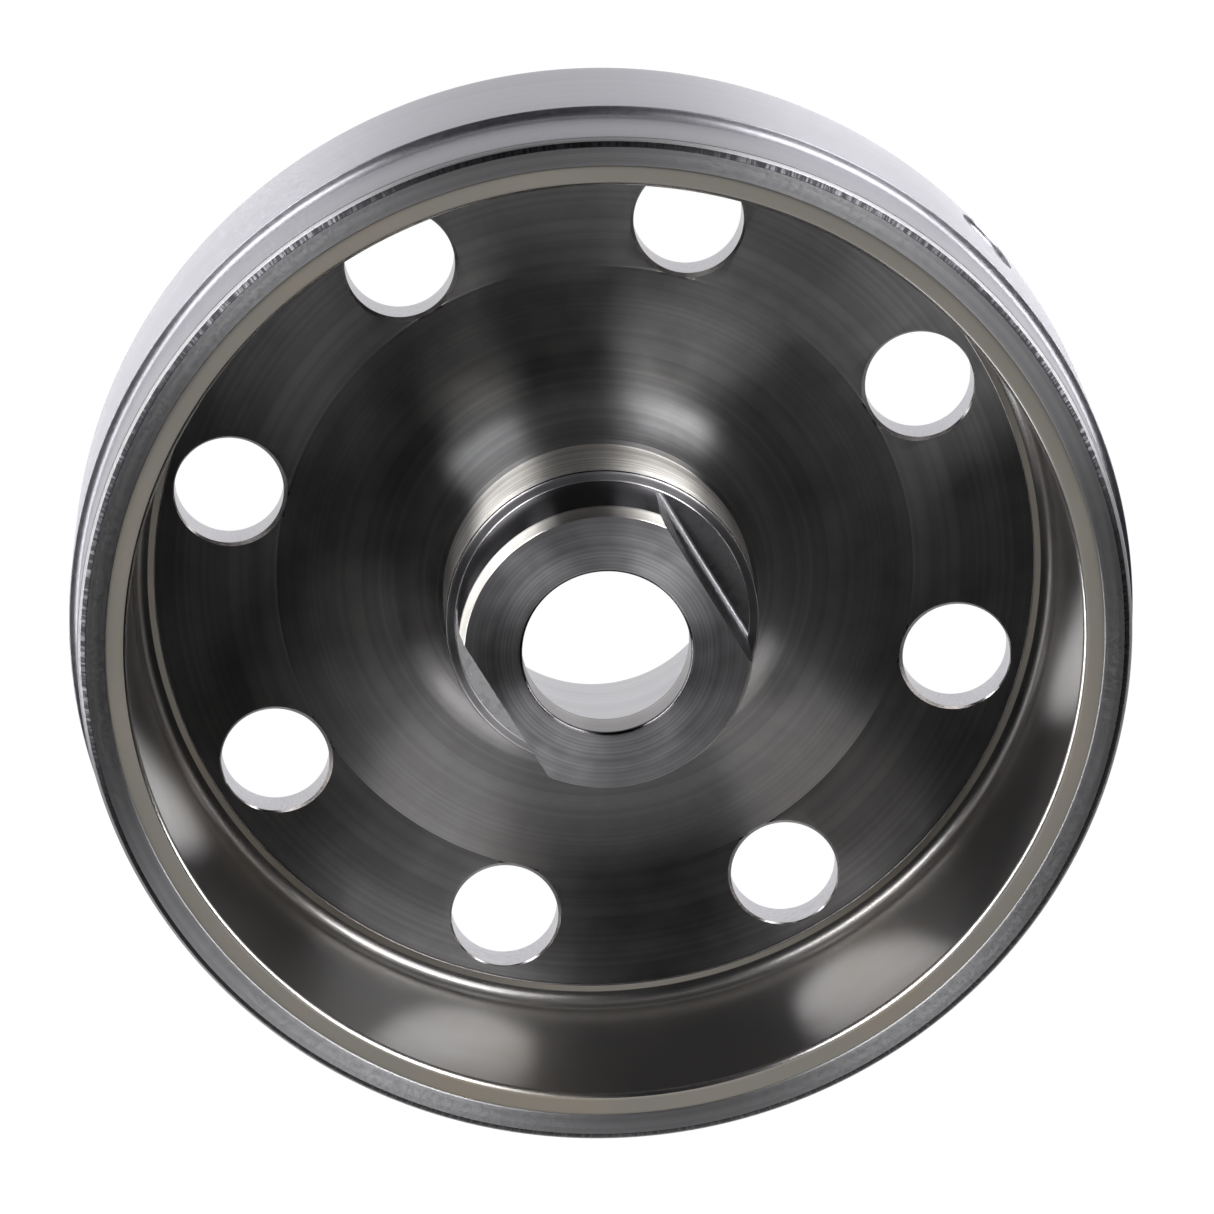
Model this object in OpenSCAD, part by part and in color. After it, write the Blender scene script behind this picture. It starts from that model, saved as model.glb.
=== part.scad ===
// Outer-rotor flywheel of a small engine's generator.
// The cup's open side, where the stator goes, faces +Z. The turning axis is Z and the flat
// back face lies on z = 0, so the origin is the centre of the back face.

/* [Rim] */
// Outside diameter at the open end
rim_front_d = 120; // [118:0.5:121]
// Outside diameter of the thicker rear band
rim_rear_d = 122.3; // [122:0.1:125]
// Height from the back face to the open end
total_h = 34.4; // [33:0.1:37]
// Width of the narrower band at the open end
front_band_h = 10.2; // [8:0.1:12]
// Rounding of the rear outer corner
rear_corner_r = 6.5; // [3:0.5:7]
// Outside diameter of the flat ring that faces the open side
ring_out_d = 118; // [116.8:0.2:118.2]
// Height of the chamfer and rounding outside that ring
front_edge_h = 1.5; // [1.2:0.1:1.7]
// Bore of the rim, where the magnets sit
rim_bore_d = 114.6; // [114.2:0.1:115]
// Bore of the thin lip that is rolled over the cover's flange
lip_bore_d = 113.4; // [112.8:0.2:113.6]
// Depth of that lip, from the open end to the flange
lip_h = 0.5; // [0.45:0.05:0.8]
// How far the ring slopes down to the lip's bore
ring_drop = 0.2; // [0:0.05:0.2]

/* [Web] */
// Thickness of the web, where it meets the rim
web_t = 5; // [4.5:0.1:6]
// How much thicker the web is at the hub
web_rise = 1; // [0.4:0.1:1.2]
// Diameter of the fine groove where the web's slope changes
web_groove_d = 75; // [73:0.5:76]
// Number of cooling holes in the web
vent_count = 8; // [4:1:10]
// Diameter of a cooling hole
vent_d = 12.8; // [10:0.2:13.4]
// Pitch circle of the cooling holes
vent_pcd = 88.4; // [86:0.2:88.6]
// Chamfer at both ends of a cooling hole
vent_chamfer = 0.3; // [0.1:0.1:0.3]

/* [Hub] */
// Diameter of the lower, turned part of the hub
hub_low_d = 36.2; // [35:0.1:37]
// Diameter of the upper part of the hub
hub_top_d = 33.7; // [32:0.1:34.4]
// Depth of the step between the two, from the open end
hub_step_depth = 11.4; // [10:0.1:13]
// Radius of the flare that joins the hub to the web
flare_r = 6.2; // [4.6:0.2:6.6]
// Distance across the two wrench flats
flats_w = 26.6; // [25:0.1:30]
// Radial size of the chamfer around the hub's end face
hub_chamfer_r = 0.65; // [0.4:0.05:1]
// Axial size of that chamfer
hub_chamfer_h = 1.9; // [1:0.1:2.5]

/* [Bore] */
// Diameter of the bolt hole at the hub's nose
nose_bore_d = 19.2; // [17:0.1:20]
// Length of the bolt hole, its chamfer included
nose_bore_h = 4.85; // [4:0.05:6]
// Large diameter of the crankshaft taper, at the back face
taper_large_d = 30.6; // [30:0.1:32]
// Axial length for which the taper narrows by one unit of diameter
taper_ratio = 5; // [5:1:8]
// Chamfer at both mouths of the bore
bore_chamfer = 0.4; // [0.2:0.1:0.6]

/* [Balance] */
// Diameter of the drilled balance mark in the rear band
balance_d = 8.3; // [6:0.1:9]
// Depth of the balance mark
balance_depth = 0.6; // [0.4:0.1:2.4]
// Height of the balance mark above the back face
balance_z = 10.3; // [10:0.1:14]
// Angle of the balance mark from +X
balance_angle = 11.7; // [0:0.1:359]

/* [Magnets] */
// Angle that one of the twelve magnets spans
magnet_span = 26; // [20:0.5:26]
// Glue gap between a magnet's back and the rim
glue_gap = 0.25; // [0.1:0.05:0.5]
// Height of the cage's ring, between the web and the magnets
cage_ring_h = 2.6; // [2:0.1:4]
// Angle that one finger of the cage spans
finger_span = 2.8; // [1.5:0.1:3]
// Height of the ring between the magnets and the cover's flange
spacer_h = 2.8; // [1.8:0.1:4]

/* [Cover] */
// Inside diameter of the stainless sleeve, where the stator turns past
cover_bore_d = 108.6; // [108:0.1:109]
// Thickness of the stainless sheet
sheet_t = 0.5; // [0.4:0.05:0.6]
// Inside diameter of the flange that rests on the web
cover_foot_d = 103.4; // [103.2:0.2:105]
// Rounding of the sleeve into that flange
cover_foot_r = 2; // [1.5:0.1:2]
// Rounding of the sleeve into the front flange
cover_front_r = 0.8; // [0.7:0.1:1]

/* [Hidden] */

$fn = 180;
eps = 0.01;                 // overlap that keeps joined solids in one piece
over = 1;                   // how far a cutter runs past what it cuts
drill_fn = 64;              // facets of the small drills
gap = 0.05;                 // room between the pieces packed inside the rim
arc_steps = 10;             // straight steps in a small rounding

rim_front_r = rim_front_d / 2;
rim_rear_r = rim_rear_d / 2;
rim_bore_r = rim_bore_d / 2;
lip_bore_r = lip_bore_d / 2;
lip_edge = 0.15;            // broken inner edge of the rolled lip
ring_out_r = ring_out_d / 2;
front_edge_r = 1.6;         // rounding between the rim's side and the front chamfer
ring_edge_r = 0.15;         // rounding between the front chamfer and the ring
shoulder_z = total_h - front_band_h;
shoulder_fillet = 0.8;      // rounding at the foot of the shoulder
inner_fillet = 0.6;         // rounding where the rim meets the web
web_seat_r = 51.5;          // the web is flat outside this radius, for the cover's foot
web_groove_r = web_groove_d / 2;
web_groove_z = web_t + 0.35 * web_rise;
web_groove_half_w = 0.2;
web_groove_depth = 0.06;
flare_foot_z = web_t + web_rise;
vent_slope = (web_seat_r - vent_pcd / 2) / (web_seat_r - web_groove_r);
vent_top_z = web_t + (web_groove_z - web_t) * vent_slope;

hub_low_r = hub_low_d / 2;
hub_top_r = hub_top_d / 2;
hub_step_z = total_h - hub_step_depth;
hub_step_chamfer = 0.35;
flare_foot_r = hub_low_r + 0.55;        // hub radius where the flare ends
groove_w = 0.5;                         // tool groove at the foot of the turned hub
groove_depth = 0.25;
ring_groove_z = hub_step_z - 2.1;       // fine groove near the top of the turned hub
ring_groove_w = 0.35;
ring_groove_depth = 0.2;
flat_foot_z = hub_step_z + 0.2;         // the flats end just above the step

nose_bore_r = nose_bore_d / 2;
taper_large_r = taper_large_d / 2;
taper_top_z = total_h - nose_bore_h;
taper_small_r = taper_large_r - taper_top_z / taper_ratio / 2;

cover_in_r = cover_bore_d / 2;
cover_out_r = cover_in_r + sheet_t;
flange_top_z = total_h - lip_h;
lip_top_z = total_h - ring_drop;
flange_low_z = flange_top_z - sheet_t;
flange_out_r = rim_bore_r - gap;

magnet_count = 12;          // one node each, see NODES
magnet_pitch = 360 / magnet_count;
magnet_in_r = cover_out_r + gap;
magnet_out_r = rim_bore_r - glue_gap;
magnet_t = magnet_out_r - magnet_in_r;
magnet_z = web_t + cage_ring_h + gap;
spacer_top_z = flange_low_z - gap;
spacer_z = spacer_top_z - spacer_h;
magnet_h = spacer_z - gap - magnet_z;
cage_chamfer = 0.8;

steel = "#8c8c94";
stainless = "#6f6c68";
resin = "#2b2a28";
magnet_grey = "#5b5d62";

// Points of an arc about [cr, cz], from angle a0 to angle a1.
function arc(cr, cz, r, a0, a1, steps = arc_steps) =
    [for (i = [0:steps]) let (a = a0 + (a1 - a0) * i / steps) [cr + r * cos(a), cz + r * sin(a)]];

// Half section of the one-piece steel forging, as a closed outline in [radius, height].
function shell_outline() = concat(
    [[taper_large_r + bore_chamfer, 0]],
    arc(rim_rear_r - rear_corner_r, rear_corner_r, rear_corner_r, -90, 0, 2 * arc_steps),
    [[rim_rear_r, shoulder_z - eps], [rim_rear_r - eps, shoulder_z]],
    arc(rim_front_r + shoulder_fillet, shoulder_z + shoulder_fillet, shoulder_fillet, -90, -180),
    arc(rim_front_r - front_edge_r, total_h - front_edge_h, front_edge_r, 0, 45),
    arc(ring_out_r - ring_edge_r, total_h - ring_edge_r, ring_edge_r, 45, 90, 4),
    [[lip_bore_r + lip_edge, lip_top_z], [lip_bore_r, lip_top_z - lip_edge]],
    [[lip_bore_r, flange_top_z], [rim_bore_r, flange_top_z]],
    arc(rim_bore_r - inner_fillet, web_t + inner_fillet, inner_fillet, 0, -90),
    [[web_seat_r, web_t], [web_groove_r + web_groove_half_w, web_groove_z]],
    [[web_groove_r, web_groove_z - web_groove_depth]],
    [[web_groove_r - web_groove_half_w, web_groove_z]],
    arc(flare_foot_r + flare_r, flare_foot_z + flare_r, flare_r, -90, -180, 2 * arc_steps),
    groove_outline(flare_foot_r, flare_foot_z + flare_r, hub_low_r, groove_w, groove_depth),
    groove_outline(hub_low_r, ring_groove_z, hub_low_r, ring_groove_w, ring_groove_depth),
    [[hub_low_r, hub_step_z - hub_step_chamfer], [hub_low_r - hub_step_chamfer, hub_step_z]],
    [[hub_top_r, hub_step_z], [hub_top_r, total_h - hub_chamfer_h]],
    [[hub_top_r - hub_chamfer_r, total_h], [nose_bore_r + bore_chamfer, total_h]],
    [[nose_bore_r, total_h - bore_chamfer], [nose_bore_r, taper_top_z]],
    [[taper_small_r, taper_top_z], [taper_large_r, bore_chamfer]]
);

// A small square groove that starts at height z and leaves the surface at radius r_above.
function groove_outline(r_below, z, r_above, w, depth) =
    [[r_below, z + eps], [r_above - depth, z + 2 * eps], [r_above - depth, z + w], [r_above, z + w]];

// One cooling hole with its two chamfers, on the Z axis.
module vent_cutter() {
    translate([0, 0, -over])
        cylinder(d = vent_d, h = vent_top_z + 2 * over, $fn = drill_fn);
    for (face = [[0, 0], [vent_top_z, 180]])
        translate([0, 0, face[0]])
            rotate([face[1], 0, 0])
                translate([0, 0, -over])
                    cylinder(r1 = vent_d / 2 + vent_chamfer + over, r2 = vent_d / 2,
                             h = vent_chamfer + over, $fn = drill_fn);
}

// Everything outside one wrench flat, on the +X side.
module flat_cutter() {
    translate([flats_w / 2, -hub_low_d, flat_foot_z])
        cube([hub_low_d, 2 * hub_low_d, total_h]);
}

// The rim, the web and the hub, turned from one forging.
module rotor_shell() {
    color(steel)
        difference() {
            rotate_extrude()
                polygon(shell_outline());
            for (i = [0:vent_count - 1])
                rotate([0, 0, i * 360 / vent_count])
                    translate([vent_pcd / 2, 0, 0])
                        vent_cutter();
            intersection() {
                for (side = [0, 180])
                    rotate([0, 0, side])
                        flat_cutter();
                translate([0, 0, flat_foot_z - over])
                    cylinder(r = hub_low_r + over, h = total_h);
            }
            rotate([0, 0, balance_angle])
                translate([rim_rear_r - balance_depth, 0, balance_z])
                    rotate([0, 90, 0])
                        cylinder(d = balance_d, h = 2 * balance_depth, $fn = drill_fn);
        }
}

// The stainless sleeve, pressed from sheet: a flange under the rolled lip, the long sleeve that
// the stator turns past, and a foot that curves inwards onto the web.
module magnet_cover() {
    front_in_r = cover_in_r + cover_front_r;
    foot_in_r = cover_in_r - cover_foot_r;
    front_low_r = cover_front_r - sheet_t;
    color(stainless)
        rotate_extrude()
            polygon(concat(
                [[flange_out_r, flange_low_z], [flange_out_r, flange_top_z - gap]],
                arc(front_in_r, flange_top_z - gap - cover_front_r, cover_front_r, 90, 180),
                arc(foot_in_r, web_t + sheet_t + cover_foot_r, cover_foot_r, 0, -90),
                [[cover_foot_d / 2, web_t + sheet_t], [cover_foot_d / 2, web_t + gap]],
                arc(foot_in_r, web_t + sheet_t + cover_foot_r, cover_foot_r + sheet_t - gap, -90, 0),
                [[cover_out_r, web_t + sheet_t + cover_foot_r + over]],
                arc(cover_out_r + front_low_r, flange_low_z - front_low_r, front_low_r, 180, 90, 4)
            ));
}

// The moulded cage: a ring on the web and one finger between each two magnets. It is a plain
// tube with a pocket cut out for each magnet.
module magnet_cage() {
    pocket_span = magnet_pitch - finger_span;
    ring_top_z = web_t + cage_ring_h;
    finger_top_z = spacer_z - gap;
    color(resin)
        difference() {
            rotate_extrude()
                polygon([
                    [magnet_in_r, web_t + gap],
                    [magnet_out_r - cage_chamfer, web_t + gap],
                    [magnet_out_r, web_t + gap + cage_chamfer],
                    [magnet_out_r, finger_top_z],
                    [magnet_in_r, finger_top_z]
                ]);
            for (i = [0:magnet_count - 1])
                rotate([0, 0, i * magnet_pitch - pocket_span / 2])
                    rotate_extrude(angle = pocket_span)
                        translate([magnet_in_r - over, ring_top_z])
                            square([magnet_t + 2 * over, finger_top_z - ring_top_z + over]);
        }
}

// The moulded ring between the magnets' front ends and the cover's flange.
module front_spacer() {
    color(resin)
        rotate_extrude()
            polygon([
                [magnet_in_r, spacer_z],
                [magnet_out_r, spacer_z],
                [magnet_out_r, spacer_top_z],
                [magnet_in_r + cover_front_r, spacer_top_z],
                [magnet_in_r, spacer_top_z - cover_front_r]
            ]);
}

// One magnet, a thin arc. The first is centred on +X.
module magnet(index) {
    color(magnet_grey)
        rotate([0, 0, index * magnet_pitch - magnet_span / 2])
            rotate_extrude(angle = magnet_span)
                translate([magnet_in_r, magnet_z])
                    square([magnet_t, magnet_h]);
}

rotor_shell();
magnet_cover();
magnet_cage();
front_spacer();
magnet(0);  // magnet_01
magnet(1);  // magnet_02
magnet(2);  // magnet_03
magnet(3);  // magnet_04
magnet(4);  // magnet_05
magnet(5);  // magnet_06
magnet(6);  // magnet_07
magnet(7);  // magnet_08
magnet(8);  // magnet_09
magnet(9);  // magnet_10
magnet(10);  // magnet_11
magnet(11);  // magnet_12
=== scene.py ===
# %% [markdown]
# # A generator flywheel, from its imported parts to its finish
#
# The object is the cup-shaped flywheel of a small engine's generator. It is one steel forging
# (rim, web and hub), turned on a lathe and drilled, with twelve magnets inside the rim and a
# stainless sleeve over them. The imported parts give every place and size. This script makes the
# two pieces that show as fine meshes, gives the hidden ones their finish, and sets up the light.
# It goes in that order: helpers, finishes, the forging, the cover, the hidden pieces, the light.

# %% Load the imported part
import math

import bpy
from mathutils import Matrix, Vector


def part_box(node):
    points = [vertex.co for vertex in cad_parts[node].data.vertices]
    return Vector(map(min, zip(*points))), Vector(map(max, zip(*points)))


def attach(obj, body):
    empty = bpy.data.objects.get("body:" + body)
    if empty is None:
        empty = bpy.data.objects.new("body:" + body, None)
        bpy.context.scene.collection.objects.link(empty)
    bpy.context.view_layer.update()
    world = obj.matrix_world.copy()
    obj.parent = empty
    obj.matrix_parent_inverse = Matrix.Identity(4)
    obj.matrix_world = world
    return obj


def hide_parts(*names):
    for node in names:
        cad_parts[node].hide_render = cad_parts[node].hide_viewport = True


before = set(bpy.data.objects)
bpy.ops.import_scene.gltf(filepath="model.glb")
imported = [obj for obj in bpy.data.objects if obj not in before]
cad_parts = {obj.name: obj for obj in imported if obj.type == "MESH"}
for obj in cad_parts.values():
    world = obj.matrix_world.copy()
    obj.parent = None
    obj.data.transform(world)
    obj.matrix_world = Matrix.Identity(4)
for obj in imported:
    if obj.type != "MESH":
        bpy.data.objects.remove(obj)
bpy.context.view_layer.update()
print("CAD nodes:", len(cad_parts))

# %% [markdown]
# The driving sizes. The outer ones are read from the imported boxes, so the meshes below can never
# grow past them. The others are the lathe's own settings, in millimetres, and MM turns them into
# metres where a mesh is made.

# %% Sizes
MM = 0.001
shell_low, shell_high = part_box("rotor_shell")
cover_low, cover_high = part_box("magnet_cover")
TOTAL_H = shell_high.z / MM
REAR_R = (shell_high.x - shell_low.x) / 2 / MM
FRONT_R = REAR_R - 1.15
FLANGE_OUT_R = (cover_high.x - cover_low.x) / 2 / MM
WEB_T = 5.0
LIP_H = 0.5
LIP_BORE_R = 56.7
RIM_BORE_R = 57.3
HUB_LOW_R = 18.1
HUB_TOP_R = 16.85
HUB_STEP_Z = TOTAL_H - 11.4
FLARE_R = 6.2
FLARE_FOOT_Z = WEB_T + 1.0
FLARE_FOOT_R = HUB_LOW_R + 0.55
NOSE_BORE_R = 9.6
TAPER_LARGE_R = 15.3
TAPER_TOP_Z = TOTAL_H - 4.85
TAPER_RATIO = 5             # millimetres of height for one millimetre of diameter
TAPER_SMALL_R = TAPER_LARGE_R - TAPER_TOP_Z / (2 * TAPER_RATIO)
print(f"rear band {2 * REAR_R:.2f} mm across, {TOTAL_H:.2f} mm high")

# %% [markdown]
# The camera stands over the open side, 18 degrees off the turning axis, and is a long lens far
# away, so the circles stay nearly round. `LEAN` tips the part away, `SPIN` turns it about its own
# axis and `ROLL` turns the picture. The three rotations together take the part's frame to the
# camera's, so their transpose places the camera.

# %% Camera
LENS_MM = 190.5
LEAN = math.radians(18.32)
SPIN = math.radians(22.64)
ROLL = math.radians(8.59)
SENSOR_MM = 36
DISTANCE = 728.1 * MM       # from the centre of the open side
SLIDE_DOWN = 5.202 * MM     # puts that centre a little below the middle of the picture

part_to_camera = (Matrix.Rotation(ROLL, 3, "Z") @ Matrix.Rotation(LEAN, 3, "X")
                  @ Matrix.Rotation(SPIN, 3, "Z"))
rim_centre = Vector((0, 0, TOTAL_H * MM))
camera_data = bpy.data.cameras.new("camera")
camera_data.lens = LENS_MM
camera_data.sensor_width = SENSOR_MM
camera = bpy.data.objects.new("camera", camera_data)
bpy.context.scene.collection.objects.link(camera)
camera.matrix_world = Matrix.Translation(
    rim_centre + part_to_camera.transposed() @ Vector((0, SLIDE_DOWN, DISTANCE))
) @ part_to_camera.transposed().to_4x4()
bpy.context.scene.camera = camera
print("camera at", [round(v, 3) for v in camera.matrix_world.translation])

# %% [markdown]
# Everything here was once clamped in a lathe, so its shape is one outline swept round an axis.
# An outline is a list of (radius, height) points in millimetres. `arc` gives the points of a
# rounding, and `outline_object` joins the points into a closed loop of edges, ready to be swept.

# %% Outlines
SWEEP_R = 50.0              # radius of the circle that the outline is swept round


def arc(radius_at, height_at, r, start, end, steps=12):
    """Points of a rounding about (radius_at, height_at), between two angles in degrees."""
    turns = [math.radians(start + (end - start) * i / steps) for i in range(steps + 1)]
    return [(radius_at + r * math.cos(t), height_at + r * math.sin(t)) for t in turns]


def outline_object(name, points):
    """A closed loop of edges. Its x is the distance from the sweep circle, and y points down."""
    mesh = bpy.data.meshes.new(name)
    loop = [((x - SWEEP_R) * MM, -z * MM, 0) for x, z in points]
    mesh.from_pydata(loop, [(i, (i + 1) % len(loop)) for i in range(len(loop))], [])
    ob = bpy.data.objects.new(name, mesh)
    bpy.context.scene.collection.objects.link(ob)
    return ob


# %% [markdown]
# Geometry Nodes do the turning. The helpers keep the trees short to read: `new_tree` makes a tree
# with named inputs, `node` adds a node and wires or sets its inputs, and `run_tree` gives an
# object the tree, sets the inputs by their identifiers and takes the result as a plain mesh.

# %% Helpers for node trees
def new_tree(name, sockets):
    """A geometry tree with one geometry in and out, and more inputs as (name, socket type)."""
    tree = bpy.data.node_groups.new(name, "GeometryNodeTree")
    tree.interface.new_socket("Geometry", in_out="INPUT", socket_type="NodeSocketGeometry")
    for label, kind in sockets:
        tree.interface.new_socket(label, in_out="INPUT", socket_type="NodeSocket" + kind)
    tree.interface.new_socket("Geometry", in_out="OUTPUT", socket_type="NodeSocketGeometry")
    return tree, tree.nodes.new("NodeGroupInput").outputs


def node(tree, kind, inputs=(), **settings):
    """Adds a node. inputs maps an input's name or number to a value or to an output socket."""
    made = tree.nodes.new(kind)
    for label, value in settings.items():
        setattr(made, label, value)
    for key, value in dict(inputs).items():
        if isinstance(value, bpy.types.NodeSocket):
            tree.links.new(value, made.inputs[key])
        else:
            made.inputs[key].default_value = value
    return made


def close_tree(tree, geometry, material):
    """Ends a tree in Realize Instances and Set Material."""
    real = node(tree, "GeometryNodeRealizeInstances", {0: geometry}).outputs[0]
    painted = node(tree, "GeometryNodeSetMaterial", {"Geometry": real, "Material": material})
    node(tree, "NodeGroupOutput", {0: painted.outputs[0]})


def run_tree(ob, tree, **values):
    """Runs the tree on the object and keeps the result as its plain mesh."""
    modifier = ob.modifiers.new(tree.name, "NODES")
    modifier.node_group = tree
    for item in tree.interface.items_tree:
        key = item.name.lower().replace(" ", "_")
        if item.in_out == "INPUT" and key in values:
            modifier[item.identifier] = values[key]
    evaluated = ob.evaluated_get(bpy.context.evaluated_depsgraph_get())
    result = bpy.data.meshes.new_from_object(evaluated)
    ob.modifiers.clear()
    ob.data = result
    result.name = ob.name
    return ob


# %% [markdown]
# `ring_of_copies` is a small group inside the other trees: it puts copies of one object round the
# axis, at equal angles, by turning each copy about the origin. The eight drills, the two milling
# cuts on the hub and the one balance drill all use it.

# %% A ring of copies
copies, copies_in = new_tree("ring_of_copies",
                             [("Copy", "Object"), ("Count", "Int"), ("Start", "Float")])
copy_shape = node(copies, "GeometryNodeObjectInfo", {"Object": copies_in["Copy"]})
copy_points = node(copies, "GeometryNodeMeshLine",
                   {"Count": copies_in["Count"], "Offset": (0, 0, 0)})
copy_step = node(copies, "ShaderNodeMath", {0: math.tau, 1: copies_in["Count"]}, operation="DIVIDE")
copy_turn = node(copies, "ShaderNodeMath",
                 {0: node(copies, "GeometryNodeInputIndex").outputs[0], 1: copy_step.outputs[0],
                  2: copies_in["Start"]}, operation="MULTIPLY_ADD")
copy_angle = node(copies, "ShaderNodeCombineXYZ", {"Z": copy_turn.outputs[0]})
copy_ring = node(copies, "GeometryNodeInstanceOnPoints",
                 {"Points": copy_points.outputs["Mesh"],
                  "Instance": copy_shape.outputs["Geometry"],
                  "Rotation": copy_angle.outputs[0]})
copy_real = node(copies, "GeometryNodeRealizeInstances", {0: copy_ring.outputs[0]})
node(copies, "NodeGroupOutput", {0: copy_real.outputs[0]})
print("tree:", copies.name, "with", len(copies.nodes), "nodes")


# %% [markdown]
# The lathe tree sweeps an outline round a circle. Curve to Mesh turns the outline's x into the
# distance from the circle and its y into the height, so the outline needs no other change. The
# sweep comes out with its faces inwards, so the tree flips them. The forging doesn't need that,
# because the cutting further down turns its faces outwards.

# %% The lathe
def add_lathe(tree, outline, segments):
    """Adds the nodes that sweep an outline round the axis, and returns the swept mesh."""
    profile = node(tree, "GeometryNodeMeshToCurve", {0: outline})
    circle = node(tree, "GeometryNodeCurvePrimitiveCircle",
                  {"Resolution": segments, "Radius": SWEEP_R * MM})
    return node(tree, "GeometryNodeCurveToMesh",
                {"Curve": circle.outputs["Curve"],
                 "Profile Curve": profile.outputs[0]}).outputs[0]


lathe, lathe_in = new_tree("lathe", [("Segments", "Int"), ("Material", "Material")])
swept = add_lathe(lathe, lathe_in["Geometry"], lathe_in["Segments"])
outward = node(lathe, "GeometryNodeFlipFaces", {"Mesh": swept}).outputs[0]
close_tree(lathe, outward, lathe_in["Material"])
print("tree:", lathe.name, "with", len(lathe.nodes), "nodes")

# %% [markdown]
# # Finishes
#
# A turned surface has fine grooves that run round the axis. Two things show them: rings in the
# relief, and a highlight that spreads across the grooves and stays narrow along them. The rings
# are noise that depends on radius and height alone, and the spread is the shader's anisotropy
# along a tangent that circles the Z axis. `shade` starts a material and `turned_coordinates` gives
# the radius and the height of a point.

# %% Helpers for materials
def shade(name, colour, roughness, metallic=1.0, **constants):
    """A Principled material. Constant numbers go straight onto the shader's own sockets."""
    material = bpy.data.materials.new(name)
    material.use_nodes = True
    shader = material.node_tree.nodes["Principled BSDF"]
    shader.inputs["Base Color"].default_value = (*colour, 1)
    shader.inputs["Roughness"].default_value = roughness
    shader.inputs["Metallic"].default_value = metallic
    for label, value in constants.items():
        shader.inputs[label.replace("_", " ").title()].default_value = value
    return material, material.node_tree, shader


def turned_coordinates(tree):
    """(radius and height as a vector, the plain object coordinates)."""
    place = node(tree, "ShaderNodeTexCoord").outputs["Object"]
    parts = node(tree, "ShaderNodeSeparateXYZ", {0: place})
    flat = node(tree, "ShaderNodeCombineXYZ",
                {"X": parts.outputs["X"], "Y": parts.outputs["Y"]})
    radius = node(tree, "ShaderNodeVectorMath", {0: flat.outputs[0]}, operation="LENGTH")
    return node(tree, "ShaderNodeCombineXYZ",
                {"X": radius.outputs["Value"], "Y": parts.outputs["Z"]}).outputs[0], place


def noise(tree, vector, scale, detail=2.0, rough=0.5):
    """A noise texture's grey value, from 0 to 1 with 0.5 in the middle."""
    return node(tree, "ShaderNodeTexNoise",
                {"Vector": vector, "Scale": scale, "Detail": detail, "Roughness": rough}).outputs[0]


def spread(tree, value, low_in, high_in, low_out, high_out):
    """Maps a range of a grey value onto another range, and eases into both ends."""
    return node(tree, "ShaderNodeMapRange",
                {"Value": value, "From Min": low_in, "From Max": high_in,
                 "To Min": low_out, "To Max": high_out},
                interpolation_type="SMOOTHSTEP").outputs[0]


# %% [markdown]
# `turned_steel` is the one recipe for every machined zone. The colour drifts over the surface, with
# painted shade in the grooves and painted light on the steel between them, the roughness varies
# with the rings and with faint smears, and the relief holds the rings at two scales. The zones
# differ in how bright, how smooth and how coarsely turned they are. A worn-looking zone has fine
# smears and hardly any rings.

# %% Turned steel
def turned_steel(name, colour, roughness, anisotropy, ring_mm, relief, stain=0.25, lines=0.12,
                 smear_scale=70, metallic=1.0):
    """Machined steel. ring_mm is the pitch of the tool marks and relief the depth of their bump.

    lines is how much painted shade darkens the grooves of the tool marks and how much lighter the
    steel between them is painted, and stain how much the smears do.
    """
    material, tree, shader = shade(name, colour, roughness, metallic, anisotropic=anisotropy,
                                   anisotropic_rotation=0.25)
    rings, place = turned_coordinates(tree)
    fine = noise(tree, rings, 1 / (ring_mm * MM), 3.0, 0.6)
    coarse = noise(tree, rings, 0.12 / (ring_mm * MM), 2.0)
    smear = noise(tree, place, smear_scale, 4.0, 0.6)
    # painted shade in the tool marks' grooves and painted light between them, times the smears'
    # real stains
    tone = node(tree, "ShaderNodeMath", {0: spread(tree, fine, 0.3, 0.7, 1 - lines, 1 + lines),
                                         1: spread(tree, smear, 0.3, 0.7, 1 - stain, 1.0)},
                operation="MULTIPLY")
    tint = node(tree, "ShaderNodeVectorMath", {0: colour, "Scale": tone.outputs[0]},
                operation="SCALE")
    tree.links.new(tint.outputs[0], shader.inputs["Base Color"])
    worn = node(tree, "ShaderNodeMath", {0: spread(tree, smear, 0.3, 0.7, 0.9, 1.2),
                                         1: spread(tree, coarse, 0.3, 0.7, 0.95, 1.06)},
                operation="MULTIPLY")
    rough = node(tree, "ShaderNodeMath", {0: worn.outputs[0], 1: roughness}, operation="MULTIPLY")
    tree.links.new(rough.outputs[0], shader.inputs["Roughness"])
    height = node(tree, "ShaderNodeMath", {0: coarse, 1: 2.0, 2: fine}, operation="MULTIPLY_ADD")
    bump = node(tree, "ShaderNodeBump", {"Height": height.outputs[0], "Strength": relief,
                                         "Distance": 0.02 * MM})
    tree.links.new(bump.outputs[0], shader.inputs["Normal"])
    around = node(tree, "ShaderNodeTangent", direction_type="RADIAL", axis="Z")
    tree.links.new(around.outputs[0], shader.inputs["Tangent"])
    return material
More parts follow.
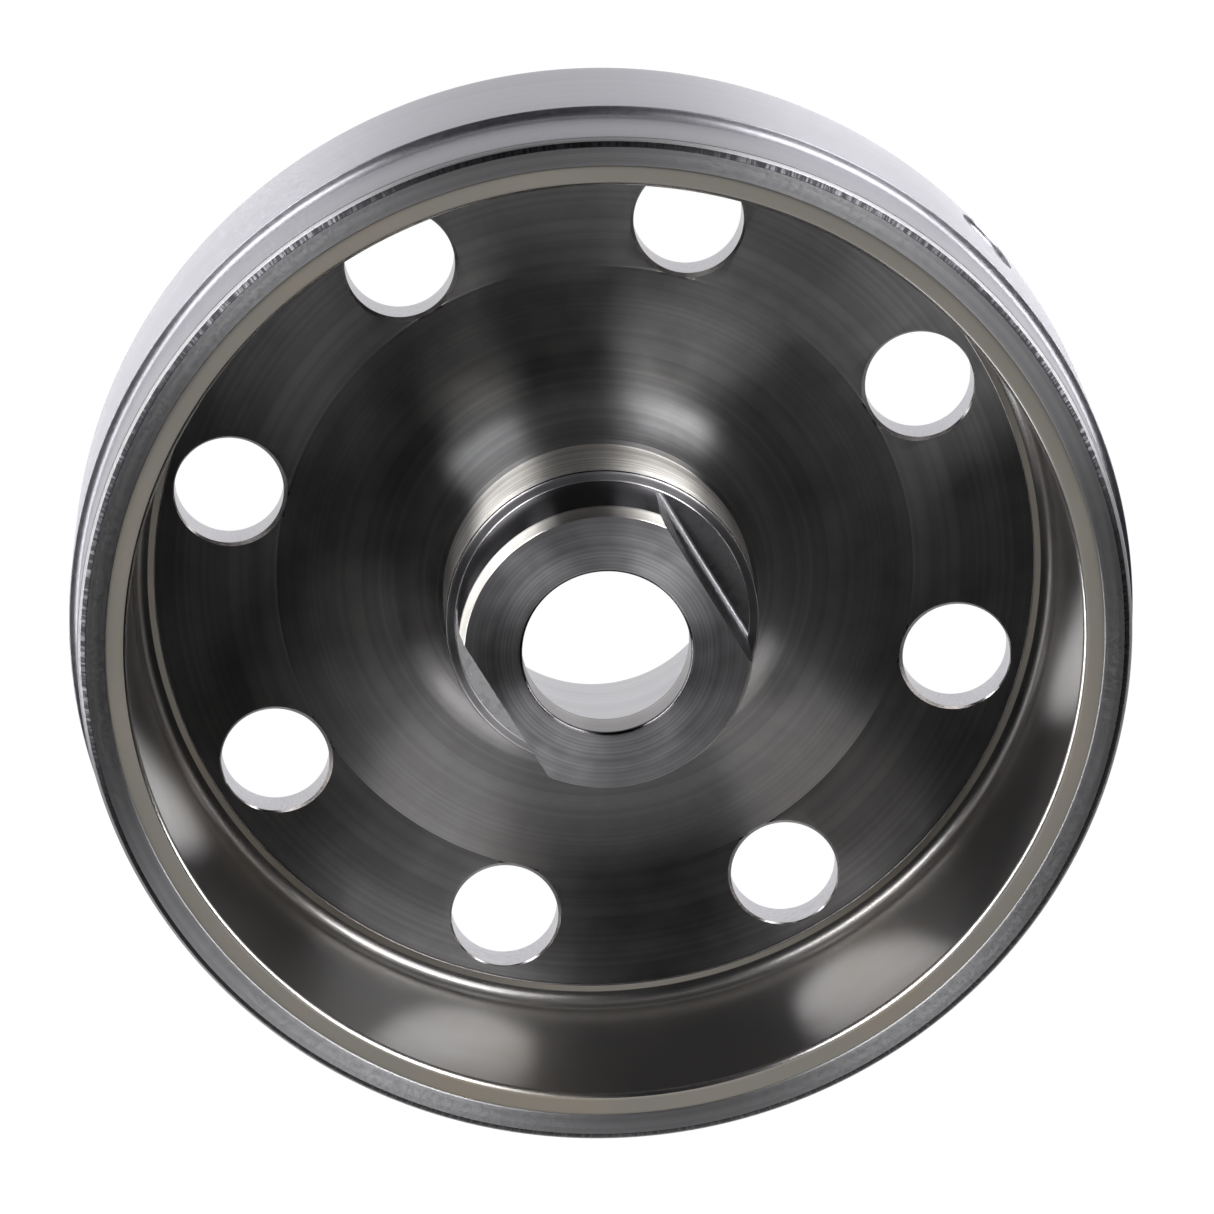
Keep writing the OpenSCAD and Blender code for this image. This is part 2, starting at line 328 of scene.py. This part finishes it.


# %% [markdown]
# Two places were cut another way. The flats were milled, so their marks run in straight lines, up
# the flat and out over its ledge, with dull blotches where the cutter rubbed. The ledge on the +x
# side is painted much darker than the other, as the shade it lies in. The narrow chamfer round the
# rim was cut with a tool that shook, which left short nicks in a dark band all the way round.

# %% Milled flats and the chattered chamfer
def milled_steel(name, colour, roughness):
    """Milled steel: straight marks parallel to the axis, blotches, and a few bright specks painted
    in as glints.
    """
    material, tree, shader = shade(name, colour, roughness, anisotropic=1.0,
                                   anisotropic_rotation=0.25)
    place = node(tree, "ShaderNodeTexCoord").outputs["Object"]
    drawn = node(tree, "ShaderNodeMapping", {"Vector": place, "Scale": (0.08, 1, 0.08)}).outputs[0]
    marks = noise(tree, drawn, 5000, 2.0)
    blotch = noise(tree, place, 900, 4.0, 0.65)
    # painted glints: a few specks where burrs would catch the light, added straight to the colour
    painted_glints = spread(tree, noise(tree, place, 2600, 1.0), 0.72, 0.8, 0.0, 2.2)
    tone = node(tree, "ShaderNodeMath", {0: spread(tree, blotch, 0.35, 0.65, 0.75, 1.05),
                                         1: painted_glints}, operation="ADD")
    tint = node(tree, "ShaderNodeVectorMath", {0: colour, "Scale": tone.outputs[0]},
                operation="SCALE")
    tree.links.new(tint.outputs[0], shader.inputs["Base Color"])
    tree.links.new(spread(tree, blotch, 0.35, 0.65, roughness * 1.3, roughness * 0.8),
                   shader.inputs["Roughness"])
    height = node(tree, "ShaderNodeMath", {0: marks, 1: blotch}, operation="ADD")
    bump = node(tree, "ShaderNodeBump", {"Height": height.outputs[0], "Strength": 0.25,
                                         "Distance": 0.02 * MM})
    tree.links.new(bump.outputs[0], shader.inputs["Normal"])
    across = node(tree, "ShaderNodeTangent", direction_type="RADIAL", axis="Y")
    tree.links.new(across.outputs[0], shader.inputs["Tangent"])
    return material


def chattered_steel(name, colour, roughness, nick_count):
    """A dark chamfer with nicks: noise along the angle makes short lighter marks."""
    material, tree, shader = shade(name, colour, roughness)
    place = node(tree, "ShaderNodeTexCoord").outputs["Object"]
    parts = node(tree, "ShaderNodeSeparateXYZ", {0: place})
    angle = node(tree, "ShaderNodeMath", {0: parts.outputs["Y"], 1: parts.outputs["X"]},
                 operation="ARCTAN2")
    line = node(tree, "ShaderNodeCombineXYZ",
                {"X": angle.outputs[0], "Y": parts.outputs["Z"]}).outputs[0]
    stretch = node(tree, "ShaderNodeMapping",
                   {"Vector": line, "Scale": (nick_count / math.tau, 400, 1)}).outputs[0]
    nicks = noise(tree, stretch, 1.0, 3.0, 0.7)
    tint = node(tree, "ShaderNodeVectorMath",
                {0: colour, "Scale": spread(tree, nicks, 0.45, 0.7, 0.6, 1.8)},
                operation="SCALE")
    tree.links.new(tint.outputs[0], shader.inputs["Base Color"])
    tree.links.new(spread(tree, nicks, 0.35, 0.65, roughness * 1.4, roughness * 0.7),
                   shader.inputs["Roughness"])
    bump = node(tree, "ShaderNodeBump", {"Height": nicks, "Strength": 0.25,
                                         "Distance": 0.03 * MM})
    tree.links.new(bump.outputs[0], shader.inputs["Normal"])
    return material


# %% [markdown]
# With the recipes in place, one finish is made for each zone of the forging. The rim's side and its
# front band share the SATIN settings, which are those of a worn surface; the front band's colour is
# painted darker, as shade. Thin edges and steps are smoother than the rest, and their colour is
# painted darker, as shade, because they mostly mirror the dark room.

# %% The finishes of the forging
SATIN = {"ring_mm": 1.6, "relief": 0.15, "stain": 0.1, "smear_scale": 2500}
finishes = {
    "rim_side": turned_steel("satin_rim_side", (0.46, 0.455, 0.49), 0.36, 0.88, lines=0.03,
                             **SATIN),
    # painted shade: the front band is the rim side's satin with a darker colour
    "front_band": turned_steel("darker_front_band", (0.31, 0.305, 0.33), 0.36, 0.88, lines=0.05,
                               **SATIN),
    "rim_face": turned_steel("rolled_rim_face", (0.33, 0.33, 0.34), 0.42, 0.88, ring_mm=0.4,
                             relief=0.2, stain=0.06, smear_scale=2500, metallic=0.98),
    "web": turned_steel("dark_turned_web", (0.362, 0.36, 0.367), 0.33, 0.99, ring_mm=0.7,
                        relief=0.4, stain=0.3),
    "hub_low": turned_steel("bright_turned_hub", (0.90, 0.87, 0.83), 0.34, 1.0, ring_mm=0.4,
                            relief=0.5, stain=0.12, lines=0.3),
    "hub_top": turned_steel("satin_hub_nose", (0.46, 0.45, 0.47), 0.33, 0.8, ring_mm=0.22,
                            relief=0.6, lines=0.2),
    # painted shade: steps, roundings and the upper side of the hub get this much darker copy of the
    # steel
    "dark": turned_steel("dark_cut_step", (0.13, 0.125, 0.135), 0.21, 0.97, ring_mm=0.3,
                         relief=0.4),
    "bore": turned_steel("ground_bore", (0.55, 0.54, 0.57), 0.33, 0.4, ring_mm=0.3,
                         relief=0.4, stain=0.12),
    "edge": turned_steel("bright_cut_edge", (0.31, 0.30, 0.30), 0.21, 0.95, ring_mm=0.5,
                         relief=0.3, stain=0.1),
    "milled": milled_steel("milled_flats", (0.40, 0.40, 0.41), 0.36),
    # painted shade: the ledge on the +x side gets this much darker copy of the milled steel
    "milled_dull": milled_steel("dull_milled_ledge", (0.11, 0.11, 0.115), 0.36),
    "chatter": chattered_steel("chattered_chamfer", (0.03, 0.03, 0.033), 0.3, nick_count=900),
}
print("finishes:", ", ".join(finishes))

# %% [markdown]
# # The forging
#
# The outline runs from the back mouth of the bore, round the rear corner, up the rim with its
# shoulder, over the rolled lip, down the rim's bore, along the web, up the flare and the stepped
# hub, and back down the bore. The lower hub carries real tool rings, about one a millimetre, that
# can be felt with a nail. They are part of the outline and not of the material.

# %% Outline of the forging
REAR_CORNER_R = 6.5
SHOULDER_Z = TOTAL_H - 10.2
SHOULDER_EDGE = 0.15
SHOULDER_FILLET = 0.8
RING_OUT_R = 59.05          # outside of the flat ring that faces the open side
RING_DROP = 0.3             # how far the ring slopes down to its bore
EDGE_ROUND = 1.6            # rounding between the rim's side and the front chamfer
EDGE_SOFT = 0.1
EDGE_DROP = 1.5
LIP_EDGE = 0.2
RIM_BORE_CORNER = 0.6
WEB_SEAT_R = 51.5           # the web is flat outside this radius, under the cover's foot
WEB_GROOVE_R = 37.5
WEB_GROOVE_HALF = 0.2
WEB_GROOVE_DEPTH = 0.06
WEB_MID_Z = WEB_T + 0.35
TOOL_RING_PITCH = 0.95
TOOL_RING_DEPTH = 0.035
HUB_EDGE = 0.35
HUB_CORNER = 0.25
BORE_EDGE = 0.4
NOSE_CHAMFER = ((0, 1.95), (0.03, 1.85), (0.62, 0.06), (0.7, 0))     # inwards and downwards


def tool_rings(r, low, high):
    """Shallow rounded rings left by the tool on a straight wall, from low to high."""
    points = []
    for i in range(int((high - low) / TOOL_RING_PITCH)):
        z = low + i * TOOL_RING_PITCH
        points += [(r - TOOL_RING_DEPTH, z), (r, z + 0.3 * TOOL_RING_PITCH),
                   (r, z + 0.7 * TOOL_RING_PITCH)]
    return points


def tool_groove(r, z, width, depth):
    """A narrow groove with rounded corners, cut into a wall of radius r at height z."""
    e = width / 6
    return [(r, z), (r - depth + e, z + e / 2), (r - depth, z + e), (r - depth, z + width - e),
            (r - depth + e, z + width - e / 2), (r, z + width)]


flare_top_z = FLARE_FOOT_Z + FLARE_R
flare_groove_z = flare_top_z + 0.05
ring_groove_z = HUB_STEP_Z - 2.1
shell_outline = (
    [(TAPER_LARGE_R + BORE_EDGE, 0)]
    + arc(REAR_R - REAR_CORNER_R, REAR_CORNER_R, REAR_CORNER_R, -90, 0, 20)
    + arc(REAR_R - SHOULDER_EDGE, SHOULDER_Z - SHOULDER_EDGE, SHOULDER_EDGE, 10, 90, 4)
    + arc(FRONT_R + SHOULDER_FILLET, SHOULDER_Z + SHOULDER_FILLET, SHOULDER_FILLET, -90, -180, 8)
    + arc(FRONT_R - EDGE_ROUND, TOTAL_H - EDGE_DROP, EDGE_ROUND, 0, 45, 9)
    + arc(RING_OUT_R - EDGE_SOFT, TOTAL_H - EDGE_SOFT, EDGE_SOFT, 45, 90, 3)
    + arc(LIP_BORE_R + LIP_EDGE, TOTAL_H - RING_DROP - LIP_EDGE, LIP_EDGE, 90, 180, 5)
    + [(LIP_BORE_R, TOTAL_H - LIP_H), (RIM_BORE_R, TOTAL_H - LIP_H)]
    + arc(RIM_BORE_R - RIM_BORE_CORNER, WEB_T + RIM_BORE_CORNER, RIM_BORE_CORNER, 0, -90, 4)
    + [(WEB_SEAT_R, WEB_T), (WEB_GROOVE_R + WEB_GROOVE_HALF, WEB_MID_Z),
       (WEB_GROOVE_R, WEB_MID_Z - WEB_GROOVE_DEPTH), (WEB_GROOVE_R - WEB_GROOVE_HALF, WEB_MID_Z)]
    + arc(FLARE_FOOT_R + FLARE_R, FLARE_FOOT_Z + FLARE_R, FLARE_R, -90, -180, 24)
    + tool_groove(HUB_LOW_R, flare_groove_z, 0.5, 0.25)
    + tool_rings(HUB_LOW_R, flare_top_z + 0.7, ring_groove_z - 0.2)
    + tool_groove(HUB_LOW_R, ring_groove_z, 0.35, 0.2)
    + arc(HUB_LOW_R - HUB_EDGE, HUB_STEP_Z - HUB_EDGE, HUB_EDGE, 0, 90, 4)
    + arc(HUB_TOP_R + HUB_CORNER, HUB_STEP_Z + HUB_CORNER, HUB_CORNER, -90, -180, 4)
    + [(HUB_TOP_R - inwards, TOTAL_H - down) for inwards, down in NOSE_CHAMFER]
    + [(NOSE_BORE_R + 0.45, TOTAL_H)]
    + arc(NOSE_BORE_R + BORE_EDGE, TOTAL_H - BORE_EDGE, BORE_EDGE, 90, 180, 5)
    + [(NOSE_BORE_R, TAPER_TOP_Z), (TAPER_SMALL_R, TAPER_TOP_Z)]
    + [(TAPER_LARGE_R, BORE_EDGE)]
)
print("outline of the forging:", len(shell_outline), "points")

# %% [markdown]
# The drills and the milling cutter are solids too. `spindle` makes a small solid of revolution
# for a drill, and `slab` makes the milling cutter's block, with the round corner that the
# cutter's nose leaves at the foot of each flat. The trees cut with them and they are deleted
# afterwards.

# %% Cutters
def plain_object(name, vertices, faces):
    """A mesh object in the scene, from vertices in millimetres and their faces."""
    mesh = bpy.data.meshes.new(name)
    mesh.from_pydata([(x * MM, y * MM, z * MM) for x, y, z in vertices], [], faces)
    ob = bpy.data.objects.new(name, mesh)
    bpy.context.scene.collection.objects.link(ob)
    return ob


def spindle(name, rings, segments, place):
    """A closed solid of revolution. rings are (radius, height), and place moves its points."""
    corners = [(r * math.cos(math.tau * k / segments), r * math.sin(math.tau * k / segments), z)
               for r, z in rings for k in range(segments)]
    walls = [(i * segments + k, i * segments + (k + 1) % segments,
              (i + 1) * segments + (k + 1) % segments, (i + 1) * segments + k)
             for i in range(len(rings) - 1) for k in range(segments)]
    last = (len(rings) - 1) * segments
    ends = [tuple(reversed(range(segments))), tuple(range(last, last + segments))]
    return plain_object(name, [place(*c) for c in corners], walls + ends)


def slab(name, side, half_width):
    """A prism whose cross-section is an outline in x and z, from -half_width to half_width in y."""
    n = len(side)
    corners = [(x, y, z) for y in (half_width, -half_width) for x, z in side]
    walls = [(i, (i + 1) % n, (i + 1) % n + n, i + n) for i in range(n)]
    return plain_object(name, corners, walls + [tuple(reversed(range(n))), tuple(range(n, 2 * n))])


VENT_R = 6.4
VENT_PITCH_R = 44.2
VENT_CHAMFER = 0.3
OVER = 1                    # how far a cutter reaches past the surface
vent_mouth_r = VENT_R + VENT_CHAMFER + OVER
vent_top_z = WEB_T + 0.18   # the conical web is this high at the holes
vent_rings = [(vent_mouth_r, -OVER), (VENT_R, VENT_CHAMFER), (VENT_R, vent_top_z - VENT_CHAMFER),
              (vent_mouth_r, vent_top_z + OVER)]
vent_drill = spindle("vent_drill", vent_rings, 96, lambda x, y, z: (x + VENT_PITCH_R, y, z))

MARK_R = 4.15
MARK_DEPTH = 0.6
MARK_EDGE = 0.15
MARK_Z = 10.3
mark_rings = [(MARK_R - MARK_EDGE, 0), (MARK_R, MARK_EDGE), (MARK_R, MARK_DEPTH - MARK_EDGE),
              (MARK_R + 2 * MARK_EDGE, MARK_DEPTH + MARK_EDGE),
              (MARK_R + 2 * MARK_EDGE, MARK_DEPTH + 2 * OVER)]
mark_drill = spindle("mark_drill", mark_rings, 72,
                     lambda x, y, z: (REAR_R - MARK_DEPTH + z, y, MARK_Z - x))

FLAT_X = 13.3
FLAT_FOOT_Z = HUB_STEP_Z + 0.2
MILL_NOSE_R = 0.5
mill_reach = HUB_LOW_R + 2 * OVER
mill_top = TOTAL_H + 2 * OVER
flat_side = ([(FLAT_X, mill_top)]
             + arc(FLAT_X + MILL_NOSE_R, FLAT_FOOT_Z + MILL_NOSE_R, MILL_NOSE_R, 180, 270, 8)
             + [(mill_reach, FLAT_FOOT_Z), (mill_reach, mill_top)])
flat_mill = slab("flat_mill", flat_side, mill_reach)
print("cutters:", vent_drill.name, mark_drill.name, flat_mill.name)

# %% [markdown]
# One tree makes the forging: it turns the outline, sets out the three rings of cutters and takes
# them away from the turned body. Eight holes of 12.8 mm lie on an 88.4 mm circle, the two flats
# face each other, and the one shallow balance mark sits in the rear band.

# %% Turn, drill and mill the forging
VENT_COUNT = 8
MARK_ANGLE = math.radians(11.7)
forge, forge_in = new_tree("turned_forging", [
    ("Segments", "Int"), ("Vent Drill", "Object"), ("Vent Count", "Int"),
    ("Flat Mill", "Object"), ("Flat Count", "Int"), ("Mark Drill", "Object"),
    ("Mark Angle", "Float"), ("Material", "Material")])
blank = add_lathe(forge, forge_in["Geometry"], forge_in["Segments"])
cuts = [
    node(forge, "GeometryNodeGroup", {"Copy": forge_in["Vent Drill"],
                                      "Count": forge_in["Vent Count"]}, node_tree=copies),
    node(forge, "GeometryNodeGroup", {"Copy": forge_in["Flat Mill"],
                                      "Count": forge_in["Flat Count"]}, node_tree=copies),
    node(forge, "GeometryNodeGroup", {"Copy": forge_in["Mark Drill"], "Count": 1,
                                      "Start": forge_in["Mark Angle"]}, node_tree=copies),
]
for cut in cuts:
    blank = node(forge, "GeometryNodeMeshBoolean",
                 {"Mesh 1": blank, "Mesh 2": cut.outputs[0]},
                 operation="DIFFERENCE", solver="EXACT").outputs["Mesh"]
close_tree(forge, blank, forge_in["Material"])

shell = outline_object("rotor_forging", shell_outline)
run_tree(shell, forge, segments=288, vent_drill=vent_drill, vent_count=VENT_COUNT,
         flat_mill=flat_mill, flat_count=2, mark_drill=mark_drill, mark_angle=MARK_ANGLE,
         material=finishes["web"])
for cutter in (vent_drill, mark_drill, flat_mill):
    bpy.data.objects.remove(cutter)
print("forging:", len(shell.data.vertices), "vertices,", len(shell.data.polygons), "faces")

# %% [markdown]
# Each machined zone of the forging has its own finish. A face belongs to a zone by where its
# middle lies and which way it faces, which is also how a machinist would name it: the side of the
# rim and its front band, painted darker as shade, its front face, the web with the flare, the two
# parts of the hub, the bores, the milled flats with one ledge painted dark as shade, and the thin
# edges and steps, the darkest of them painted dark as shade. The tests go from the smallest zone
# to the largest, and the web is what is left. All are in millimetres.

# %% Zones of the forging
ZONES = list(finishes)
HOLE_REACH = VENT_R + 0.55
NEAR = 0.01                 # a face this close to a limit still counts


def from_nearest_hole(centre):
    """Distance from the axis of the nearest of the eight holes."""
    r = math.hypot(centre.x, centre.y) / MM
    sector = math.tau / VENT_COUNT
    around = (math.atan2(centre.y, centre.x) + sector / 2) % sector - sector / 2
    return math.hypot(r * math.cos(around) - VENT_PITCH_R, r * math.sin(around))


def zone_of(centre, normal):
    """The name of the machined zone that a face of the forging belongs to."""
    r, z = math.hypot(centre.x, centre.y) / MM, centre.z / MM
    # the eight holes, with their bevels
    if from_nearest_hole(centre) < HOLE_REACH and z < WEB_MID_Z + 0.1 and abs(normal.z) < 0.99:
        return "edge" if abs(normal.z) > 0.2 else "bore"
    # the taper, then the bolt hole with its rounded mouth
    if r < TAPER_LARGE_R + 0.1 and z < TAPER_TOP_Z - NEAR:
        return "bore"
    if r < NOSE_BORE_R + BORE_EDGE + 2 * NEAR and normal.z < 0.95:
        # the top of the bolt hole's rounded mouth takes the finish painted dark as shade
        return "edge" if z < TOTAL_H - BORE_EDGE - 0.05 else "dark"
    # the front of the rim, from its chamfer inwards
    if r > RING_OUT_R - EDGE_SOFT and z > TOTAL_H - EDGE_DROP + 0.7 * EDGE_ROUND:
        return "chatter"
    if r > LIP_BORE_R - 0.1 and z > TOTAL_H - LIP_H - 0.3:
        return "rim_face"
    # the front band with its rounding, then the rear band with the outside of the back
    if z > SHOULDER_Z - SHOULDER_EDGE - NEAR and r > FRONT_R - 0.6:
        # painted shade: up-facing faces of the shoulder's rounding take the dark step finish, and
        # the band above takes the darker front band
        return "dark" if normal.z > 0.35 and r < FRONT_R else "front_band"
    if r > FRONT_R - 0.5 or z < 0.2 or (r > 54 and z < REAR_CORNER_R and normal.z < 0.1):
        return "rim_side"
    # the flats, and the ledge at the foot of each
    if abs(centre.x) / MM > FLAT_X - NEAR and z > FLAT_FOOT_Z - NEAR and (
            abs(normal.x) > 0.9 or normal.z > 0.95 or abs(normal.y) < 0.02) and r < HUB_TOP_R:
        # the ledge on the +x side takes the copy that is painted dark as shade
        return "milled_dull" if centre.x > 0 and normal.z > 0.95 else "milled"
    # the hub: the end chamfer, the upper side, the faces, and the lower side
    if r < HUB_LOW_R + 2 * NEAR and z > HUB_STEP_Z - HUB_EDGE - NEAR:
        if z > TOTAL_H - 2 and 0.2 < normal.z < 0.8:
            return "hub_low"
        # the hub's upper side and step roundings take the finish painted dark as shade, and the
        # faces stay satin
        return "dark" if normal.z < 0.8 else "hub_top"
    if r < HUB_LOW_R + 2 * NEAR and z > flare_top_z:
        return "hub_low"
    return "web"


def finish_zones(ob, names, chooser, smooth_below=math.radians(28)):
    """Gives every face the material of its zone, and rounds all but the sharp edges."""
    mesh = ob.data
    mesh.materials.clear()
    for name in names:
        mesh.materials.append(finishes[name])
    counts = dict.fromkeys(names, 0)
    for face in mesh.polygons:
        name = chooser(face.center, face.normal)
        counts[name] += 1
        face.material_index = names.index(name)
    mesh.shade_smooth()
    mesh.set_sharp_from_angle(angle=smooth_below)
    return counts


print("faces by zone:", finish_zones(shell, ZONES, zone_of))

# %% [markdown]
# # The magnet cover
#
# A thin stainless sleeve, pressed from sheet, keeps the magnets in place and shields them from
# the stator. At the front its flange turns outwards under the rim's rolled lip. At the web it
# curves inwards and ends in a flat foot. The drawn sheet is duller and warmer than the steel.

# %% Stainless sheet
STAIN_BROWN = (0.30, 0.22, 0.13)


def drawn_sheet(name, colour, roughness, anisotropy, metallic=1.0):
    """Pressed stainless sheet: a warm grey, faint draw lines round the axis, and a few stains."""
    material, tree, shader = shade(name, colour, roughness, metallic, anisotropic=anisotropy,
                                   anisotropic_rotation=0.25)
    rings, place = turned_coordinates(tree)
    cloud = noise(tree, place, 45, 3.0, 0.55)
    grain = noise(tree, rings, 2600, 2.0)
    brown = node(tree, "ShaderNodeMix", {"Factor": spread(tree, cloud, 0.45, 0.8, 0.0, 0.3)},
                 data_type="RGBA")
    plain_end, stained_end = [s for s in brown.inputs if s.type == "RGBA"]
    plain_end.default_value = (*colour, 1)
    stained_end.default_value = (*STAIN_BROWN, 1)
    tree.links.new(next(s for s in brown.outputs if s.type == "RGBA"),
                   shader.inputs["Base Color"])
    tree.links.new(spread(tree, cloud, 0.3, 0.7, roughness * 0.85, roughness * 1.04),
                   shader.inputs["Roughness"])
    bump = node(tree, "ShaderNodeBump", {"Height": grain, "Strength": 0.25, "Distance": 0.01 * MM})
    tree.links.new(bump.outputs[0], shader.inputs["Normal"])
    around = node(tree, "ShaderNodeTangent", direction_type="RADIAL", axis="Z")
    tree.links.new(around.outputs[0], shader.inputs["Tangent"])
    return material


finishes["sleeve"] = drawn_sheet("drawn_stainless_sleeve", (0.38, 0.37, 0.365), 0.26, 0.6)
finishes["flange"] = drawn_sheet("matt_stainless_flange", (0.24, 0.225, 0.20), 0.5, 0.1, 0.5)

# %% [markdown]
# The outline of the cover runs from the flange's rim over the front bend, down the inside of the
# sleeve and round to the foot, then back up the outside. SHEET_GAP keeps the sheet just clear of
# the lip above it and of the web below it.

# %% The cover
COVER_IN_R = 54.3
SHEET_T = 0.5
FRONT_BEND_R = 0.8
FOOT_BEND_R = 2.0
FOOT_IN_R = 51.7
SHEET_GAP = 0.05
flange_top_z = TOTAL_H - LIP_H - SHEET_GAP
foot_top_z = WEB_T + SHEET_T
foot_bend_at = (COVER_IN_R - FOOT_BEND_R, foot_top_z + FOOT_BEND_R)
cover_outline = (
    [(FLANGE_OUT_R, flange_top_z - SHEET_T), (FLANGE_OUT_R, flange_top_z)]
    + arc(COVER_IN_R + FRONT_BEND_R, flange_top_z - FRONT_BEND_R, FRONT_BEND_R, 90, 180, 10)
    + arc(*foot_bend_at, FOOT_BEND_R, 0, -90, 12)
    + arc(FOOT_IN_R + 0.15, foot_top_z - 0.15, 0.15, 90, 180, 4)
    + [(FOOT_IN_R, WEB_T + SHEET_GAP)]
    + arc(*foot_bend_at, FOOT_BEND_R + SHEET_T - SHEET_GAP, -90, 0, 12)
    + [(COVER_IN_R + SHEET_T, foot_bend_at[1] + 1)]
    + arc(COVER_IN_R + FRONT_BEND_R, flange_top_z - FRONT_BEND_R, FRONT_BEND_R - SHEET_T,
          180, 90, 5)
)
cover = outline_object("stainless_cover", cover_outline)
run_tree(cover, lathe, segments=360, material=finishes["sleeve"])


FRONT_BEND_AT = (TOTAL_H - 3) * MM


def cover_zone(centre, normal):
    """The flange and the foot are matt where they face up, and the rest is smoother."""
    faces_up = 0.9 if centre.z > FRONT_BEND_AT else 0.99
    return "flange" if normal.z > faces_up else "sleeve"


print("cover:", finish_zones(cover, ["sleeve", "flange"], cover_zone))

# %% [markdown]
# # Pieces inside the rim
#
# The magnets, their cage and the front spacer are hidden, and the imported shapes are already
# right, so they only get their finishes: nickel-plated magnets with a fine pebbled skin, and
# moulded black resin with flow marks.

# %% Hidden finishes
def pebbled(name, colour, roughness, metallic, grain_mm, relief):
    """A moulded or plated skin: slow colour drift and a fine pebble relief."""
    material, tree, shader = shade(name, colour, roughness, metallic)
    _, place = turned_coordinates(tree)
    drift = noise(tree, place, 60, 3.0)
    tint = node(tree, "ShaderNodeVectorMath",
                {0: colour, "Scale": spread(tree, drift, 0.3, 0.7, 0.8, 1.15)}, operation="SCALE")
    tree.links.new(tint.outputs[0], shader.inputs["Base Color"])
    tree.links.new(spread(tree, drift, 0.3, 0.7, roughness * 0.85, roughness * 1.2),
                   shader.inputs["Roughness"])
    grain = noise(tree, place, 1 / (grain_mm * MM), 2.0)
    bump = node(tree, "ShaderNodeBump", {"Height": grain, "Strength": relief,
                                         "Distance": 0.02 * MM})
    tree.links.new(bump.outputs[0], shader.inputs["Normal"])
    return material


magnet_skin = pebbled("plated_magnet", (0.45, 0.44, 0.42), 0.32, 1.0, 0.25, 0.4)
resin_skin = pebbled("moulded_resin", (0.035, 0.034, 0.032), 0.5, 0.0, 0.4, 0.5)
for name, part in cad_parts.items():
    if name in ("magnet_cage", "front_spacer") or name.startswith("magnet_") and name[-1].isdigit():
        part.data.materials.clear()
        part.data.materials.append(magnet_skin if name[-1].isdigit() else resin_skin)
print("magnets:", sum(name[-1].isdigit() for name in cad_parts))

# %% [markdown]
# # Light and table
#
# Bright metal shows little but what it reflects. The part lies on a glowing white table, which
# lights it from below and shows white through every hole. Two strong soft boxes stand behind it,
# to the left and right, with a dark gap between them. A wide low box on each side brightens the
# rim's wall, and weak ones above the right box and in front soften the rest. Straight overhead it
# stays dark, which is why the web looks nearly black.

# %% Soft boxes
BOX_DISTANCE = 1.0


def soft_box(name, azimuth, elevation, size, power):
    """A rectangular lamp that looks at the rim. Azimuth is from +X towards +Y, in degrees."""
    a, e = math.radians(azimuth), math.radians(elevation)
    lamp = bpy.data.lights.new(name, "AREA")
    lamp.shape = "RECTANGLE"
    lamp.size, lamp.size_y = size
    lamp.energy = power
    ob = bpy.data.objects.new(name, lamp)
    towards = Vector((math.cos(a) * math.cos(e), math.sin(a) * math.cos(e), math.sin(e)))
    ob.location = rim_centre + towards * BOX_DISTANCE
    ob.visible_camera = False
    ob.rotation_mode = "QUATERNION"
    ob.rotation_quaternion = towards.to_track_quat("Z", "Y")
    bpy.context.scene.collection.objects.link(ob)
    return ob


soft_box("box_right", 21, 28, (0.48, 0.46), 8.0)
soft_box("box_right_top", 24, 50, (0.45, 0.33), 1.3)
soft_box("box_right_low", -11, 9, (0.58, 0.30), 6.5)
soft_box("box_left", 109, 29, (0.48, 0.44), 8.0)
soft_box("box_left_low", 149, 9, (1.00, 0.30), 9.0)
soft_box("box_front", 238, 47, (0.95, 0.36), 1.4)
soft_box("box_front_low", 207, 30, (0.36, 0.34), 1.3)

# %% [markdown]
# The table is black with a white glow, so nothing casts a shade on it. The backdrop is white where
# the camera looks at it and almost black for everything else.

# %% Table and backdrop
floor_material = bpy.data.materials.new("glowing_table")
floor_material.use_nodes = True
floor_shader = floor_material.node_tree.nodes["Principled BSDF"]
floor_shader.inputs["Base Color"].default_value = (0, 0, 0, 1)
floor_shader.inputs["Emission Color"].default_value = (1, 1, 1, 1)
floor_shader.inputs["Emission Strength"].default_value = 1.0
FLOOR_SIZE = 8.0
FLOOR_GAP = 0.0002
bpy.ops.mesh.primitive_plane_add(size=FLOOR_SIZE, location=(0, 0, -FLOOR_GAP))
floor = bpy.context.object
floor.name = "table"
floor.data.materials.append(floor_material)

world = bpy.data.worlds.new("studio")
world.use_nodes = True
bpy.context.scene.world = world
sky = world.node_tree
seen = node(sky, "ShaderNodeLightPath").outputs["Is Camera Ray"]
dark = node(sky, "ShaderNodeBackground", {"Color": (0.004, 0.004, 0.0045, 1)})
white = node(sky, "ShaderNodeBackground", {"Color": (1, 1, 1, 1)})
both = node(sky, "ShaderNodeMixShader", {0: seen, 1: dark.outputs[0], 2: white.outputs[0]})
sky.links.new(both.outputs[0], sky.nodes["World Output"].inputs["Surface"])
bpy.context.scene.view_settings.view_transform = "Standard"
print("table:", floor.name, "backdrop:", world.name)

# %% [markdown]
# # Hand the pieces over
#
# Both made pieces ride on the one body and stand for their imported nodes, which are hidden.

# %% Ride and replace
for piece, stands_for, slot_name in ((shell, "rotor_shell", "turned_steel"),
                                     (cover, "magnet_cover", "stainless_sheet")):
    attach(piece, "root")
    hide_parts(stands_for)
